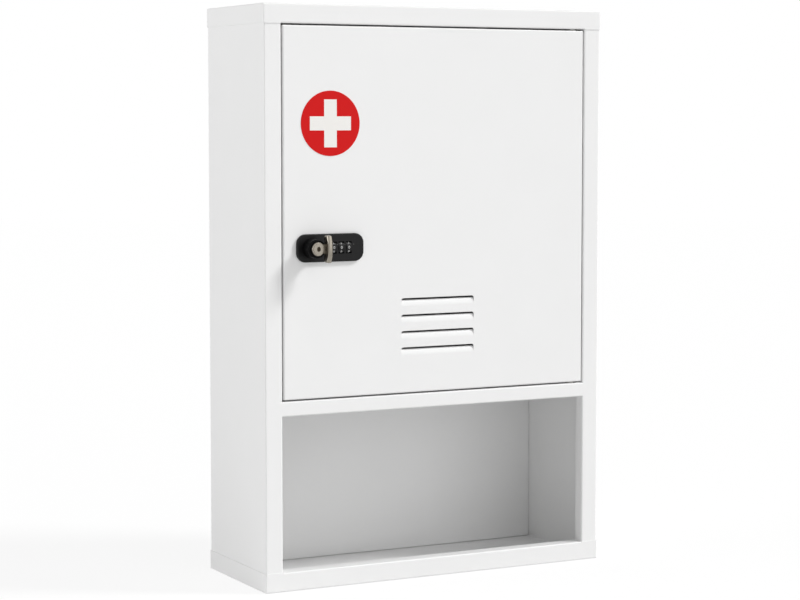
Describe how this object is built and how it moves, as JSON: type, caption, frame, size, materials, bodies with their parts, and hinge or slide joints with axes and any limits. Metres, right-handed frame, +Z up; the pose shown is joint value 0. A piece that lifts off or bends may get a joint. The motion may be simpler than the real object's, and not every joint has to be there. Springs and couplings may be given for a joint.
{
  "type": "lockable medicine cabinet",
  "caption": "Wall cabinet of folded sheet steel with an open shelf below a louvred door, which a combination lock with a turning knob fastens.",
  "frame": {"origin": "middle of the base, on the surface the cabinet stands on", "axes": "+Z up, -Y towards the front with the door and the open shelf, +Y towards the wall, +X to the right seen from the front"},
  "size_m": [0.3, 0.131, 0.45],
  "materials": {
    "white_steel": "smooth white powder coat, semi-gloss",
    "black_housing": "black moulding, fine matt texture",
    "black_wheel": "black moulding, light numbers",
    "nickel": "satin nickel on cast metal",
    "zinc_steel": "bright zinc on steel",
    "nylon": "natural nylon",
    "rubber": "soft dark rubber",
    "sign_red": "red vinyl film",
    "sign_white": "white vinyl film",
    "number_print": "light print on black moulding"
  },
  "bodies": {
    "cabinet": {"top_cap": "white_steel", "bottom_tray": "white_steel", "left_side_panel": "white_steel", "right_side_panel": "white_steel", "back_panel": "white_steel", "divider_shelf": "white_steel", "left_shelf_angle": "white_steel", "right_shelf_angle": "white_steel", "inner_shelf": "white_steel", "door_stops": "zinc_steel", "stop_bumpers": "rubber", "upper_hinge_pin": "zinc_steel", "lower_hinge_pin": "zinc_steel"},
    "door": {"door_panel": "white_steel", "upper_hinge_bush": "nylon", "lower_hinge_bush": "nylon", "lock_housing": "black_housing", "knob_collar": "black_housing", "lock_back_case": "black_housing", "lock_screws": "zinc_steel", "wheel_axle": "zinc_steel", "detent_spring": "zinc_steel"},
    "knob": {"knob": "nickel", "lock_cam": "zinc_steel", "cam_screw": "zinc_steel"},
    "key_plug": {"key_plug": "nickel"},
    "number_wheel_1": {"number_wheel_1": "black_wheel"},
    "number_wheel_2": {"number_wheel_2": "black_wheel"},
    "number_wheel_3": {"number_wheel_3": "black_wheel"}
  },
  "joints": [
    {"name": "door_hinge", "type": "hinge", "parent": "cabinet", "child": "door", "pos_m": [0.1248, -0.0504, 0.291], "axis": [0, 0, 1], "range_deg": [0, 120]},
    {"name": "knob_turn", "type": "hinge", "parent": "door", "child": "knob", "pos_m": [-0.1116, -0.0544, 0.2642], "axis": [0, 1, 0], "range_deg": [0, 90]},
    {"name": "key_turn", "type": "hinge", "parent": "knob", "child": "key_plug", "pos_m": [-0.1116, -0.0544, 0.2642], "axis": [0, 1, 0], "range_deg": [0, 90]},
    {"name": "wheel_1_spin", "type": "hinge", "parent": "door", "child": "number_wheel_1", "pos_m": [-0.0923, -0.0518, 0.2642], "axis": [1, 0, 0], "continuous": true},
    {"name": "wheel_2_spin", "type": "hinge", "parent": "door", "child": "number_wheel_2", "pos_m": [-0.0859, -0.0518, 0.2642], "axis": [1, 0, 0], "continuous": true},
    {"name": "wheel_3_spin", "type": "hinge", "parent": "door", "child": "number_wheel_3", "pos_m": [-0.0795, -0.0518, 0.2642], "axis": [1, 0, 0], "continuous": true}
  ]
}
